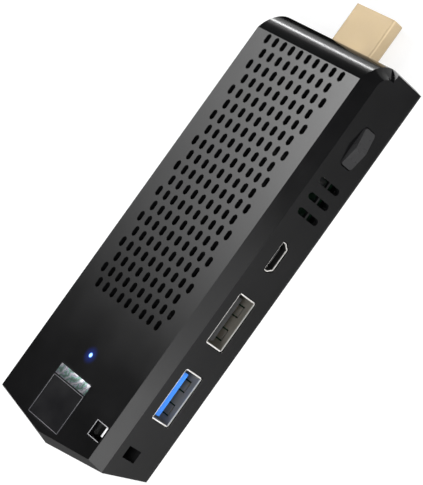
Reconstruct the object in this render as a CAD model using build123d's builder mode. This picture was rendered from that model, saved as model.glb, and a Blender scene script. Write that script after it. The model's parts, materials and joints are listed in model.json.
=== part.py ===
"""A stick computer with an HDMI plug, built as its separate pieces.

Millimetres. The origin is the centre of the flat underside. +X runs along the stick
towards the plug, +Z is up through the slotted top, and the sockets open towards -Y.
"""
import os
from math import acos, cos, degrees, radians, sin, tan

from build123d import *

os.makedirs("parts", exist_ok=True)

# Housing
body_length = 111.0
body_width = 43.5
body_height = 15.5
wall = 1.6
fit_gap = 0.15
overrun = 1.0
bevel = 2.78

# Rounded nose at the plug end: two arcs, and the bevel that wraps round them
nose_radius = 10.45
nose_lip_radius = 6.95
nose_start_angle = 17
nose_join_angle = 50
nose_corner_cut = 0.8
nose_bevel_setback = 2.87
nose_bevel_radius = 3.0
bevel_ledge_drop = 6.25

# Far end: a shallow V in plan, with a steep facet above and an undercut face below
end_facet_drop = 4.2
end_facet_reach = 1.4
end_facet_angle = 7.75
end_face_angle = 9.5
end_undercut_angle = 14.2

# Slotted field in the top
slot_length = 2.5
slot_width = 1.5
slot_corner = 0.45
slot_pitch_x = 3.53
slot_pitch_y = 3.05
slot_first_inset = 8.1
slot_rows = 20
slot_columns = 10

# Side vents
vent_x_share = 0.2018
vent_z = 6.9
vent_count = 3
vent_pitch = 4.0
vent_length = 7.2
vent_width = 1.6
vent_corner = 0.5
vent_bar_height = 0.6
vent_bar_setback = 0.3
vent_bar_depth = 0.8

# Lanyard well at the far end: a hole in the top that meets a hole in the side
lanyard_inset = 10.0
lanyard_top_length = 3.6
lanyard_top_width = 4.2
lanyard_side_inset = 5.45
lanyard_side_length = 3.0
lanyard_side_height = 3.85
lanyard_side_z = 8.5
lanyard_wall = 1.0

# Bosses, ribs and screws, their rounds drawn with a few flats
round_sides = 10
case_boss_far_inset = 9.9
case_boss_far_y = 8.5
case_boss_near_inset = 8.0
case_boss_near_y = 14.0
case_boss_radius = 2.6
board_boss_radius = 2.1
board_boss_back_share = 0.375
board_boss_back_x_shares = (-0.347, 0.036, 0.351)
board_boss_front_shares = (0.144, -0.264)
roof_rib_shares = (-0.216, -0.333)
roof_rib_depth = 1.2
roof_rib_width = 0.9
screw_radius = 0.8
screw_gap = 0.05
pilot_extra_depth = 1.0
case_screw_length = 7.0
case_screw_head_height = 0.7
case_screw_recess = 0.1
board_screw_length = 5.0
board_screw_head_radius = 1.6
board_screw_head_height = 0.9
driver_socket_radius = 0.7
driver_socket_depth = 0.4

# Bottom cover
cover_thick = 1.0
cover_lip_height = 1.1
cover_lip_width = 0.9
cover_lip_opening = 18.4
cover_vent_length = 9.0
cover_vent_width = 1.4
cover_vent_corner = 0.4
cover_vent_pitch_x = 3.6
cover_vent_pitch_y = 13.0
cover_vent_columns = 7
cover_vent_rows = 2
cover_vent_x = 6.0
cover_peg_radius = 1.4
cover_peg_shares = ((-0.27, 0.322), (-0.18, -0.3), (0.252, 0.345), (0.27, -0.368))

# Main board
board_top = 4.15
board_thick = 1.2
board_far_inset = 12.9
board_near_inset = 11.5
board_tongue_inset = 8.5
board_tongue_width = 19.0
board_port_inset = 3.25
board_back_inset = 2.55
board_hole_radius = 1.0

# HDMI plug
plug_exposed = 10.7
plug_width = 13.9
plug_height = 4.45
plug_side_height = 2.9
plug_taper = 1.35
plug_corner_radius = 0.5
plug_sheet = 0.35
plug_board_gap = 0.3
plug_collar_width = 17.0
plug_collar_rise = 0.8
plug_collar_thick = 0.8
plug_collar_gap = 0.2
plug_arm_length = 2.6
plug_arm_height = 1.0
plug_insulator_setback = 0.6
plug_insulator_gap = 0.05
plug_slot_width = 11.2
plug_slot_height = 1.9
plug_slot_depth = 8.5
plug_contact_pitch = 1.0
plug_contact_width = 0.45
plug_contact_thick = 0.15
plug_contact_length = 7.5
plug_contact_upper_count = 10
plug_contact_lower_count = 9
plug_tail_length = 2.2

# USB-A sockets
socket_pitch = 20.0
socket_near_x = -10.0
socket_setback = 0.35
socket_width = 13.1
socket_height = 5.7
socket_depth = 14.0
socket_sheet = 0.3
socket_corner_radius = 0.6
socket_tab_offset = 3.05
socket_tab_width = 2.3
socket_tab_length = 3.4
socket_tab_cut = 0.35
socket_tab_setback = 1.7
socket_leg_width = 1.2
socket_leg_length = 2.0
socket_leg_setback = 4.0
socket_leg_pitch = 7.0
socket_leg_gap = 0.1
socket_base_depth = 4.6
socket_base_gap = 0.1
tongue_width = 11.1
tongue_thick = 1.84
tongue_drop = 0.7
tongue_setback = 1.2
usb_contact_inner = 1.0
usb_contact_outer = 3.5
usb_contact_width = 1.0
usb_contact_thick = 0.15
usb_contact_setback = 0.9
usb_tail_width = 0.6
usb_tail_thick = 0.3
usb_tail_height = 2.4
usb3_contact_setback = 2.4
usb3_pad_count = 5
usb3_pad_pitch = 2.0
usb3_pad_width = 0.6
usb3_pad_length = 1.0
usb3_pad_setback = 0.4

# Micro-USB power inlet
inlet_x = 7.2
inlet_z = 6.95
inlet_width = 7.5
inlet_height = 2.7
inlet_side_height = 1.25
inlet_taper = 1.0
inlet_corner_radius = 0.35
inlet_sheet = 0.28
inlet_depth = 5.2
inlet_base_depth = 1.6
inlet_base_gap = 0.04
inlet_back_thick = 0.5
inlet_foot_width = 5.0
inlet_tongue_width = 3.9
inlet_tongue_thick = 0.6
inlet_tongue_rise = 0.35
inlet_tongue_setback = 0.7
inlet_contact_count = 5
inlet_contact_pitch = 0.65
inlet_contact_width = 0.35
inlet_contact_thick = 0.12
inlet_contact_length = 2.4
inlet_tail_length = 1.0

# Power button and its switch
button_x_share = 0.33063
button_z = 6.5
button_opening_length = 10.0
button_opening_height = 4.05
button_opening_radius = 0.9
button_gap = 0.23
button_end_proud = 0.3
button_ridge_proud = 1.3
button_flange_overlap = 0.7
button_flange_thick = 0.8
button_running_gap = 0.15
button_travel = 0.4
switch_length = 6.2
switch_depth = 3.2
switch_height = 3.4
switch_spacing = 0.4
plunger_width = 2.6
plunger_height = 1.4
plunger_depth_inside = 1.0
plunger_gap = 0.2
plunger_end_gap = 0.3

# Cooling
processor_x = 8.0
processor_boss_gap = 2.7
processor_width = 17.0
processor_height = 1.2
die_width = 10.0
die_height = 0.3
pad_thick = 0.4
pad_width = 12.0
sink_x = 5.0
sink_socket_gap = 0.7
sink_boss_gap = 1.2
sink_roof_gap = 1.15
sink_length = 46.0
sink_base = 1.5
sink_fin_thick = 1.0
sink_leg_radius = 1.4
sink_screw_radius = 0.6
sink_screw_head_radius = 0.9
sink_screw_head_height = 0.6
sink_screw_gap = 0.1

# Chips and small parts on the board
parts_gap = 0.5
memory_size = (10.6, 7.5, 1.0)
memory_processor_gap = 0.6
memory_gap = 0.4
memory_count = 2
storage_size = (11.5, 13.0, 1.0)
storage_x = -24.2
storage_setback = 2.1
power_chip_size = (6.0, 6.0, 0.9)
power_chip_x = 23.0
power_chip_setback = 1.5
inductor_size = (4.0, 4.0, 1.8)
inductor_corner = 0.6
inductor_x = 36.2
inductor_pitch = 5.0
inductor_count = 4
capacitor_size = (0.8, 1.6, 0.8)
capacitor_x = 32.4
capacitor_setback = 0.4
capacitor_pitch = 2.2
capacitor_count = 8
crystal_size = (3.2, 2.5, 0.8)
crystal_x = 20.5
crystal_y = 0.5
wireless_x = -36.8
wireless_length = 11.0
wireless_thick = 0.8
wireless_led_gap = 1.1
wireless_boss_gap = 0.6
shield_end_inset = 0.7
shield_front_inset = 2.3
shield_back_inset = 0.3
shield_height = 1.5
shield_sheet = 0.2
antenna_x = -38.7
antenna_gap = 2.1
antenna_length = 7.0
antenna_width = 2.4
antenna_height = 3.0
antenna_sheet = 0.3
battery_boss_gap = 2.15
battery_setback = 6.1
battery_radius = 4.75
battery_height = 2.0
clip_width = 2.4
clip_thick = 0.3
clip_foot = 1.6
clip_gap = 0.1

# Status light and label
light_x = -33.75
light_radius = 0.75
light_sides = 16
light_gap = 0.03
light_collar_radius = 1.6
light_collar_thick = 1.0
led_size = (1.6, 1.0, 0.6)
led_gap = 0.3
label_inset = 10.0
label_length = 13.7
label_width = 13.1
label_thick = 0.12
label_radius = 0.8

# Places worked out from the sizes
nose_x = body_length / 2
half_width = body_width / 2
top_half = half_width - bevel
blank_x = -nose_x - overrun
roof_z = body_height - wall
outer_y = -half_width - overrun
slot_first_x = nose_x - slot_first_inset
vent_x = vent_x_share * body_length
lanyard_x = -nose_x + lanyard_inset
lanyard_top_y = -half_width + lanyard_side_inset
label_x = -nose_x + label_inset
through_wall = wall + 2 * overrun
board_bottom = board_top - board_thick
board_far_x = -nose_x + board_far_inset
board_near_x = nose_x - board_near_inset
board_tongue_x = nose_x - board_tongue_inset
board_port_y = -half_width + board_port_inset
board_back_y = half_width - board_back_inset
case_boss_far_x = -nose_x + case_boss_far_inset
case_boss_near_x = nose_x - case_boss_near_inset
case_boss_spots = (
    (case_boss_far_x, case_boss_far_y),
    (case_boss_far_x, -case_boss_far_y),
    (case_boss_near_x, case_boss_near_y),
    (case_boss_near_x, -case_boss_near_y),
)
board_boss_back_y = board_boss_back_share * body_width
board_boss_front_x = board_boss_front_shares[0] * body_length
board_boss_front_y = board_boss_front_shares[1] * body_width
board_boss_spots = [(share * body_length, board_boss_back_y) for share in board_boss_back_x_shares]
board_boss_spots.append((board_boss_front_x, board_boss_front_y))
cover_peg_spots = [(x * body_length, y * body_width) for x, y in cover_peg_shares]
hole_radius = screw_radius + screw_gap

# Nose curve: where the arcs start and join, and where the wrapped bevel stops
bevel_ledge_height = body_height - bevel_ledge_drop
start_rad = radians(nose_start_angle)
join_rad = radians(nose_join_angle)
nose_start_x = (
    nose_x
    - nose_radius * (sin(join_rad) - sin(start_rad))
    - nose_lip_radius * (1 - sin(join_rad))
)
join_z = body_height - nose_radius * (cos(start_rad) - cos(join_rad))
ledge_rad = acos(cos(join_rad) - (join_z - bevel_ledge_height) / nose_lip_radius)
ledge_x = nose_x - nose_lip_radius * (1 - sin(ledge_rad))
flank_x = nose_x - nose_corner_cut

# Plug, sockets and inlet
tip_x = nose_x + plug_exposed
plug_z = board_top - board_thick / 2
plug_back_x = board_tongue_x + plug_board_gap
socket_y = -half_width + socket_setback
socket_back_y = socket_y + socket_depth
socket_z = board_top + socket_height / 2
socket_xs = (socket_near_x, socket_near_x - socket_pitch)
inlet_back_y = socket_y + inlet_depth
inlet_low_z = inlet_z - inlet_height / 2

# Where the sockets' tails end, and what stands behind them or against the rear bosses
tails_y = socket_back_y + usb_tail_thick
boss_front_y = board_boss_back_y - board_boss_radius
parts_front_y = tails_y + parts_gap
processor_y = boss_front_y - processor_boss_gap - processor_width / 2
memory_x = processor_x - processor_width / 2 - memory_processor_gap - memory_size[0] / 2
memory_pitch = memory_size[1] + memory_gap
memory_y = parts_front_y + ((memory_count - 1) * memory_pitch + memory_size[1]) / 2
storage_y = parts_front_y + storage_setback + storage_size[1] / 2
capacitor_span = (capacitor_count - 1) * capacitor_pitch + capacitor_size[1]
capacitor_y = parts_front_y + capacitor_setback + capacitor_span / 2
antenna_y = tails_y + antenna_gap + antenna_width / 2
wireless_front_y = led_size[1] / 2 + wireless_led_gap
wireless_back_y = boss_front_y - wireless_boss_gap
clip_reach = battery_radius + clip_gap + clip_thick
battery_x = board_boss_front_x + board_boss_radius + battery_boss_gap + clip_reach + clip_foot
battery_y = board_port_y + battery_setback

# Heat sink: its levels, its edges, its fins and its screws
die_top = board_top + processor_height + die_height
sink_bottom = die_top + pad_thick
sink_top = roof_z - sink_roof_gap
sink_front_y = tails_y + sink_socket_gap
sink_back_y = boss_front_y - sink_boss_gap
sink_width = sink_back_y - sink_front_y
sink_y = (sink_front_y + sink_back_y) / 2
power_chip_y = sink_back_y - power_chip_setback - power_chip_size[1] / 2
sink_least_pitch = sink_fin_thick + 2 * (sink_screw_head_radius + sink_screw_gap)
sink_fin_count = int((sink_width - sink_fin_thick) / sink_least_pitch) + 1
sink_fin_pitch = (sink_width - sink_fin_thick) / (sink_fin_count - 1)
sink_screw_inset = (sink_fin_thick + sink_fin_pitch) / 2
sink_screw_dx = sink_length / 2 - sink_screw_inset
sink_screw_dy = sink_width / 2 - sink_screw_inset
sink_screw_spots = (
    (sink_x - sink_screw_dx, sink_y + sink_screw_dy),
    (sink_x + sink_screw_dx, sink_y - sink_screw_dy),
)

# Button and switch
button_x = button_x_share * body_length
button_length = button_opening_length - 2 * button_gap
button_height = button_opening_height - 2 * button_gap
flange_front_y = -half_width + wall + button_running_gap
flange_back_y = flange_front_y + button_flange_thick
switch_front_y = flange_back_y + button_travel + switch_spacing
plunger_z = board_top + switch_height / 2


def block(low, high, mode=Mode.ADD):
    """A rectangular block between two opposite corners."""
    size = [b - a for a, b in zip(low, high)]
    middle = [(a + b) / 2 for a, b in zip(low, high)]
    with Locations(tuple(middle)):
        Box(*size, mode=mode)


def post(spots, low, high, radius, mode=Mode.ADD):
    """Upright posts, or holes, of one radius between two heights."""
    with BuildSketch(Plane.XY.offset(low)) as rounds:
        with Locations(*spots):
            RegularPolygon(radius, round_sides)
    extrude(rounds.sketch, amount=high - low, mode=mode)


def cut_slot(plane, depth, spots, length, width, corner):
    """Cut slots with cut corners through a wall, standing up along the plane's local Y."""
    with BuildSketch(plane) as slots:
        with Locations(*spots):
            Rectangle(width, length)
        chamfer(slots.vertices(), corner)
    extrude(slots.sketch, amount=depth, mode=Mode.SUBTRACT)


def chip(x, y, size):
    """A flat package lying on the board."""
    length, width, height = size
    low = (x - length / 2, y - width / 2, board_top)
    high = (x + length / 2, y + width / 2, board_top + height)
    block(low, high)


def spread(count, pitch):
    """Places of evenly spaced copies about zero."""
    return [(i - (count - 1) / 2) * pitch for i in range(count)]


def d_points(width, height, side_height, taper):
    """Corners of a plug or socket outline with its wide side up."""
    half, rise = width / 2, height / 2
    return (
        (-half, rise),
        (half, rise),
        (half, rise - side_height),
        (half - taper, -rise),
        (taper - half, -rise),
        (-half, rise - side_height),
    )


def rounded_face(points, radius, grow=0):
    """An outline with rounded corners, grown by a clearance."""
    with BuildSketch() as face:
        with BuildLine():
            FilletPolyline(*points, radius=radius, close=True)
        make_face()
        if grow:
            offset(amount=grow)
    return face.sketch


def bore_face(points, inset):
    """What lies inside an outline, inset all round and left with plain corners."""
    with BuildSketch() as face:
        with BuildLine():
            Polyline(*points, close=True)
        make_face()
        offset(amount=-inset, kind=Kind.INTERSECTION)
    return face.sketch


def plug_plane(x):
    """Upright plane across the plug, with its local axes along +Y and +Z."""
    return Plane(origin=(x, 0, plug_z), x_dir=(0, 1, 0), z_dir=(1, 0, 0))


def port_plane(x, y, z):
    """Upright plane along the port side, facing out, with its local axes along +X and +Z."""
    return Plane(origin=(x, y, z), x_dir=(1, 0, 0), z_dir=(0, -1, 0))


def end_planes(inset):
    """The four faces of the far end, moved inwards: a facet and an undercut face each side."""
    lean = end_facet_reach / end_facet_drop
    undercut = tan(radians(end_undercut_angle))
    crest = Vector(-nose_x, 0, body_height - end_facet_drop)
    planes = []
    for side in (1, -1):
        for angle, rise in ((end_facet_angle, lean), (end_face_angle, -undercut)):
            turn = radians(angle)
            normal = Vector(-cos(turn), side * sin(turn), rise * cos(turn)).normalized()
            planes.append(Plane(origin=crest - normal * inset, z_dir=normal))
    return planes


def cut_far_end(inset):
    """Cut the far end of the sub-part being built to its V."""
    for plane in end_planes(inset):
        split(bisect_by=plane, keep=Keep.BOTTOM)


def nose_curve(low_z):
    """Side outline of the stick, rounded at the nose, standing on the height given."""
    roof = Line((blank_x, body_height), (nose_start_x, body_height))
    heading = (cos(start_rad), -sin(start_rad))
    brow = JernArc(roof @ 1, heading, nose_radius, nose_start_angle - nose_join_angle)
    lip = JernArc(brow @ 1, brow % 1, nose_lip_radius, nose_join_angle - 90)
    Polyline(lip @ 1, (nose_x, low_z), (blank_x, low_z), (blank_x, body_height))


def flank_top_section():
    """Outline of the stick above the bevel's ledge, where the bevel meets the top."""
    roof = Line((blank_x, body_height), (nose_start_x, body_height))
    heading = (cos(start_rad), -sin(start_rad))
    brow = JernArc(roof @ 1, heading, nose_radius, nose_start_angle - nose_join_angle)
    lip = JernArc(brow @ 1, brow % 1, nose_lip_radius, nose_join_angle - degrees(ledge_rad))
    Line(lip @ 1, (blank_x, bevel_ledge_height))
    Line((blank_x, bevel_ledge_height), roof @ 0)


def flank_side_section():
    """The same outline where the bevel meets the side wall."""
    edge_x = nose_x - nose_bevel_setback
    shoulder_z = body_height - bevel
    roof = Line((blank_x, shoulder_z), (edge_x - nose_bevel_radius, shoulder_z))
    brow = JernArc(roof @ 1, (1, 0), nose_bevel_radius, -90)
    lip = Line(brow @ 1, (edge_x, bevel_ledge_height))
    Line(lip @ 1, (blank_x, bevel_ledge_height))
    Line((blank_x, bevel_ledge_height), roof @ 0)


def skirt_top_section():
    """Outline of the stick below the ledge, in line with the bevel's upper edge."""
    shelf = Line((blank_x, bevel_ledge_height), (ledge_x, bevel_ledge_height))
    heading = (cos(ledge_rad), -sin(ledge_rad))
    lip = JernArc(shelf @ 1, heading, nose_lip_radius, degrees(ledge_rad) - 90)
    front = Line(lip @ 1, (nose_x, 0))
    Line(front @ 1, (blank_x, 0))
    Line((blank_x, 0), shelf @ 0)


def skirt_side_section():
    """The same outline on the side wall, set back at the nose's corner."""
    foot_z = join_z - nose_lip_radius * cos(join_rad)
    shelf = Line((blank_x, bevel_ledge_height), (flank_x, bevel_ledge_height))
    lip = Line(shelf @ 1, (flank_x, foot_z))
    front = Line(lip @ 1, (flank_x, 0))
    Line(front @ 1, (blank_x, 0))
    Line((blank_x, 0), shelf @ 0)


def outer_form():
    """The outside of the stick as one solid block."""
    flanks = ((flank_top_section, flank_side_section), (skirt_top_section, skirt_side_section))
    with BuildPart() as form:
        with BuildSketch(Plane.XZ):
            with BuildLine():
                nose_curve(0)
            make_face()
        extrude(amount=top_half, both=True)
        for side in (1, -1):
            for inner, outer in flanks:
                with BuildSketch(Plane.XZ.offset(side * top_half)):
                    with BuildLine():
                        inner()
                    make_face()
                with BuildSketch(Plane.XZ.offset(side * half_width)):
                    with BuildLine():
                        outer()
                    make_face()
                loft(ruled=True)
        cut_far_end(0)
    return form.part


def inner_form(inset):
    """What fills the stick, inset from the outside all round and open below."""
    low_z = -inset - overrun
    shoulder_z = body_height - bevel
    with BuildPart() as form:
        with BuildSketch(Plane.XZ):
            with BuildLine():
                nose_curve(low_z)
            make_face()
            offset(amount=-inset, kind=Kind.INTERSECTION)
        extrude(amount=half_width, both=True)
        with BuildSketch(Plane.YZ):
            with BuildLine():
                Polyline(
                    (-half_width, low_z),
                    (-half_width, shoulder_z),
                    (-top_half, body_height),
                    (top_half, body_height),
                    (half_width, shoulder_z),
                    (half_width, low_z),
                    close=True,
                )
            make_face()
            offset(amount=-inset, kind=Kind.INTERSECTION)
        extrude(amount=body_length, both=True, mode=Mode.INTERSECT)
        cut_far_end(inset)
    return form.part


def inner_slice(inset, low_z, high_z):
    """The part of the inner form that lies between two heights."""
    with BuildPart() as form:
        add(inner_form(inset))
        block((-body_length, -body_width, low_z), (body_length, body_width, high_z), Mode.INTERSECT)
    return form.part


# Outlines of the plug and the inlet
plug_points = d_points(plug_width, plug_height, plug_side_height, plug_taper)
inlet_points = d_points(inlet_width, inlet_height, inlet_side_height, inlet_taper)

# Upper housing: the whole moulded shell, open below
vent_spots = [(vent_x + dx, 0) for dx in spread(vent_count, vent_pitch)]
lanyard_half = lanyard_top_length / 2
lanyard_side_half = lanyard_side_length / 2
lanyard_out_y = lanyard_top_y - lanyard_top_width / 2
lanyard_in_y = lanyard_top_y + lanyard_top_width / 2
lanyard_low_z = lanyard_side_z - lanyard_side_height / 2
lanyard_high_z = lanyard_side_z + lanyard_side_height / 2
root_z = roof_z + wall / 2

with BuildPart() as upper_housing:
    add(outer_form())
    add(inner_form(wall), mode=Mode.SUBTRACT)

    # Bosses for the case screws reach down to the cover, those for the board stop at it
    post(case_boss_spots, cover_thick, root_z, case_boss_radius)
    post(board_boss_spots, board_top, root_z, board_boss_radius)
    post(case_boss_spots, cover_thick, case_screw_length + pilot_extra_depth, hole_radius, Mode.SUBTRACT)
    board_pilot_top = board_bottom + board_screw_length + pilot_extra_depth
    post(board_boss_spots, board_top, board_pilot_top, hole_radius, Mode.SUBTRACT)

    # Ribs across the roof
    for share in roof_rib_shares:
        rib_x = share * body_length
        low = (rib_x - roof_rib_width / 2, -top_half, roof_z - roof_rib_depth)
        block(low, (rib_x + roof_rib_width / 2, top_half, root_z))

    # Lanyard well: a walled box in the corner, then the bent passage through it
    well_low = (lanyard_x - lanyard_half - lanyard_wall, -top_half, lanyard_low_z - lanyard_wall)
    well_high = (lanyard_x + lanyard_half + lanyard_wall, lanyard_in_y + lanyard_wall, root_z)
    block(well_low, well_high)
    skirt_high = (well_high[0], -top_half, lanyard_high_z + lanyard_wall)
    block((well_low[0], wall / 2 - half_width, well_low[2]), skirt_high)
    shaft_low = (lanyard_x - lanyard_half, lanyard_out_y, lanyard_low_z)
    shaft_high = (lanyard_x + lanyard_half, lanyard_in_y, body_height + overrun)
    block(shaft_low, shaft_high, Mode.SUBTRACT)
    reach_low = (lanyard_x - lanyard_side_half, outer_y, lanyard_low_z)
    reach_high = (lanyard_x + lanyard_side_half, lanyard_in_y, lanyard_high_z)
    block(reach_low, reach_high, Mode.SUBTRACT)

    # Collar round the light pipe
    post(((light_x, 0),), roof_z - light_collar_thick, root_z, light_collar_radius)
    with BuildSketch(Plane.XY.offset(body_height + overrun)):
        with Locations((light_x, 0)):
            RegularPolygon(light_radius + light_gap, light_sides)
    extrude(amount=-body_height / 2, mode=Mode.SUBTRACT)

    # Openings for the two sockets, the inlet, the button and the plug
    for x in socket_xs:
        with BuildSketch(port_plane(x, outer_y, socket_z)):
            gap_radius = socket_corner_radius + fit_gap
            RectangleRounded(socket_width + 2 * fit_gap, socket_height + 2 * fit_gap, gap_radius)
        extrude(amount=-through_wall, mode=Mode.SUBTRACT)
    with BuildSketch(port_plane(inlet_x, outer_y, inlet_z)):
        add(rounded_face(inlet_points, inlet_corner_radius, fit_gap))
    extrude(amount=-through_wall, mode=Mode.SUBTRACT)
    with BuildSketch(port_plane(button_x, outer_y, button_z)):
        RectangleRounded(button_opening_length, button_opening_height, button_opening_radius)
    extrude(amount=-through_wall, mode=Mode.SUBTRACT)
    with BuildSketch(plug_plane(nose_x + overrun)):
        add(rounded_face(plug_points, plug_corner_radius, fit_gap))
    extrude(amount=-through_wall, mode=Mode.SUBTRACT)

    # Side vents, each bridged by a thin bar
    vent_plane = port_plane(0, outer_y, vent_z)
    cut_slot(vent_plane, -through_wall, vent_spots, vent_length, vent_width, vent_corner)
    bar_front_y = -half_width + vent_bar_setback
    bar_reach = vent_width / 2 + vent_bar_setback
    for x, _ in vent_spots:
        low = (x - bar_reach, bar_front_y, vent_z - vent_bar_height / 2)
        high = (x + bar_reach, bar_front_y + vent_bar_depth, vent_z + vent_bar_height / 2)
        block(low, high)

    # Slotted top: rows of ten and nine by turns, each slot with its corners cut
    slot_spots = []
    for row in range(slot_rows):
        for y in spread(slot_columns - row % 2, slot_pitch_y):
            slot_spots.append((slot_first_x - row * slot_pitch_x, y))
    roof_plane = Plane.XY.offset(roof_z - overrun)
    cut_slot(roof_plane, through_wall, slot_spots, slot_width, slot_length, slot_corner)
upper_housing.part.label = "upper_housing"
export_step(upper_housing.part, "parts/upper_housing.step")

# Bottom cover: a plate that drops inside the walls, with a lip, pegs, vents and screw seats
cover_inset = wall + fit_gap
lip_inset = cover_inset + cover_lip_width
lip_top_z = cover_thick + cover_lip_height
lip_front_x = nose_x - cover_inset - 2 * cover_lip_width
seat_depth = case_screw_head_height + case_screw_recess
cover_vent_spots = [
    (cover_vent_x + dx, dy)
    for dx in spread(cover_vent_columns, cover_vent_pitch_x)
    for dy in spread(cover_vent_rows, cover_vent_pitch_y)
]

with BuildPart() as bottom_cover:
    add(inner_slice(cover_inset, 0, lip_top_z))
    add(inner_slice(lip_inset, cover_thick, lip_top_z + overrun), mode=Mode.SUBTRACT)
    lip_low = (lip_front_x, -cover_lip_opening / 2, cover_thick)
    block(lip_low, (nose_x, cover_lip_opening / 2, lip_top_z), Mode.SUBTRACT)
    post(cover_peg_spots, cover_thick, board_bottom, cover_peg_radius)
    post(case_boss_spots, 0, cover_thick, hole_radius, Mode.SUBTRACT)
    with BuildSketch():
        with Locations(*case_boss_spots):
            RegularPolygon(hole_radius + seat_depth, round_sides)
    extrude(amount=seat_depth, taper=45, mode=Mode.SUBTRACT)
    cut_slot(
        Plane.XY, cover_thick, cover_vent_spots, cover_vent_length, cover_vent_width, cover_vent_corner
    )
bottom_cover.part.label = "bottom_cover"
export_step(bottom_cover.part, "parts/bottom_cover.step")

# Case screws: countersunk, driven up through the cover into the housing's bosses
with BuildPart() as case_screws:
    post(case_boss_spots, case_screw_recess, case_screw_length, screw_radius)
    with BuildSketch(Plane.XY.offset(case_screw_recess)):
        with Locations(*case_boss_spots):
            RegularPolygon(screw_radius + case_screw_head_height, round_sides)
    extrude(amount=case_screw_head_height, taper=45)
    with BuildSketch(Plane.XY.offset(case_screw_recess)):
        with Locations(*case_boss_spots):
            RegularPolygon(driver_socket_radius, 6)
    extrude(amount=driver_socket_depth, mode=Mode.SUBTRACT)
case_screws.part.label = "case_screws"
export_step(case_screws.part, "parts/case_screws.step")

# Main board: notched round the plug-end bosses, drilled and slotted for what it carries
board_outline = (
    (board_far_x, board_port_y),
    (board_near_x, board_port_y),
    (board_near_x, -board_tongue_width / 2),
    (board_tongue_x, -board_tongue_width / 2),
    (board_tongue_x, board_tongue_width / 2),
    (board_near_x, board_tongue_width / 2),
    (board_near_x, board_back_y),
    (board_far_x, board_back_y),
)
leg_dx = (socket_width - socket_sheet) / 2
leg_ys = [socket_y + socket_leg_setback + step * socket_leg_pitch for step in (0, 1)]
leg_spots = [(x + side * leg_dx, y) for x in socket_xs for side in (-1, 1) for y in leg_ys]

with BuildPart() as main_board:
    with BuildSketch(Plane.XY.offset(board_bottom)):
        with BuildLine():
            Polyline(*board_outline, close=True)
        make_face()
        with Locations(*leg_spots):
            leg_slot = (socket_sheet + 2 * socket_leg_gap, socket_leg_width + 2 * socket_leg_gap)
            Rectangle(*leg_slot, mode=Mode.SUBTRACT)
        with Locations(*board_boss_spots):
            RegularPolygon(board_hole_radius, round_sides, mode=Mode.SUBTRACT)
        with Locations(*sink_screw_spots):
            RegularPolygon(sink_screw_radius + sink_screw_gap, round_sides, mode=Mode.SUBTRACT)
    extrude(amount=board_thick)
main_board.part.label = "main_board"
export_step(main_board.part, "parts/main_board.step")

# Board screws: driven up through the board into the housing's bosses
with BuildPart() as board_screws:
    post(board_boss_spots, board_bottom, board_bottom + board_screw_length, screw_radius)
    head_z = board_bottom - board_screw_head_height
    post(board_boss_spots, head_z, board_bottom, board_screw_head_radius)
    with BuildSketch(Plane.XY.offset(head_z)):
        with Locations(*board_boss_spots):
            RegularPolygon(driver_socket_radius, 6)
    extrude(amount=driver_socket_depth, mode=Mode.SUBTRACT)
board_screws.part.label = "board_screws"
export_step(board_screws.part, "parts/board_screws.step")

# HDMI plug shell: a folded tube with a collar behind the end wall and arms along the board
with BuildPart() as hdmi_plug_shell:
    with BuildSketch(plug_plane(plug_back_x)):
        add(rounded_face(plug_points, plug_corner_radius))
    extrude(amount=tip_x - plug_back_x)
    collar_x = nose_x - wall - plug_collar_gap
    collar_low = (collar_x - plug_collar_thick, -plug_collar_width / 2, plug_z - plug_height / 2)
    collar_high = (collar_x, plug_collar_width / 2, plug_z + plug_height / 2 + plug_collar_rise)
    block(collar_low, collar_high)
    with BuildSketch(plug_plane(plug_back_x)):
        add(bore_face(plug_points, plug_sheet))
    extrude(amount=tip_x - plug_back_x, mode=Mode.SUBTRACT)
    for side in (-1, 1):
        arm_y = side * (plug_width - plug_sheet) / 2
        arm_low = (plug_back_x - plug_arm_length, arm_y - plug_sheet / 2, board_top)
        arm_high = (plug_back_x, arm_y + plug_sheet / 2, board_top + plug_arm_height)
        block(arm_low, arm_high)
hdmi_plug_shell.part.label = "hdmi_plug_shell"
export_step(hdmi_plug_shell.part, "parts/hdmi_plug_shell.step")

# HDMI insulator: fills the shell, with the slot that takes a socket's tongue
insulator_x = tip_x - plug_insulator_setback
slot_back_x = insulator_x - plug_slot_depth
slot_half = plug_slot_height / 2

with BuildPart() as hdmi_insulator:
    with BuildSketch(plug_plane(plug_back_x)):
        add(bore_face(plug_points, plug_sheet + plug_insulator_gap))
    extrude(amount=insulator_x - plug_back_x)
    cavity_low = (slot_back_x, -plug_slot_width / 2, plug_z - slot_half)
    cavity_high = (tip_x, plug_slot_width / 2, plug_z + slot_half)
    block(cavity_low, cavity_high, Mode.SUBTRACT)
hdmi_insulator.part.label = "hdmi_insulator"
export_step(hdmi_insulator.part, "parts/hdmi_insulator.step")

# HDMI contacts: a row on each face of the slot, and their tails on both faces of the board
contact_rows = (
    (plug_contact_upper_count, plug_z + slot_half - plug_contact_thick, board_top),
    (plug_contact_lower_count, plug_z - slot_half, board_bottom - plug_contact_thick),
)

with BuildPart() as hdmi_contacts:
    for count, row_z, tail_z in contact_rows:
        for y in spread(count, plug_contact_pitch):
            left, right = y - plug_contact_width / 2, y + plug_contact_width / 2
            low = (slot_back_x, left, row_z)
            high = (slot_back_x + plug_contact_length, right, row_z + plug_contact_thick)
            block(low, high)
            tail_low = (plug_back_x - plug_tail_length, left, tail_z)
            block(tail_low, (plug_back_x, right, tail_z + plug_contact_thick))
hdmi_contacts.part.label = "hdmi_contacts"
export_step(hdmi_contacts.part, "parts/hdmi_contacts.step")

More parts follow.
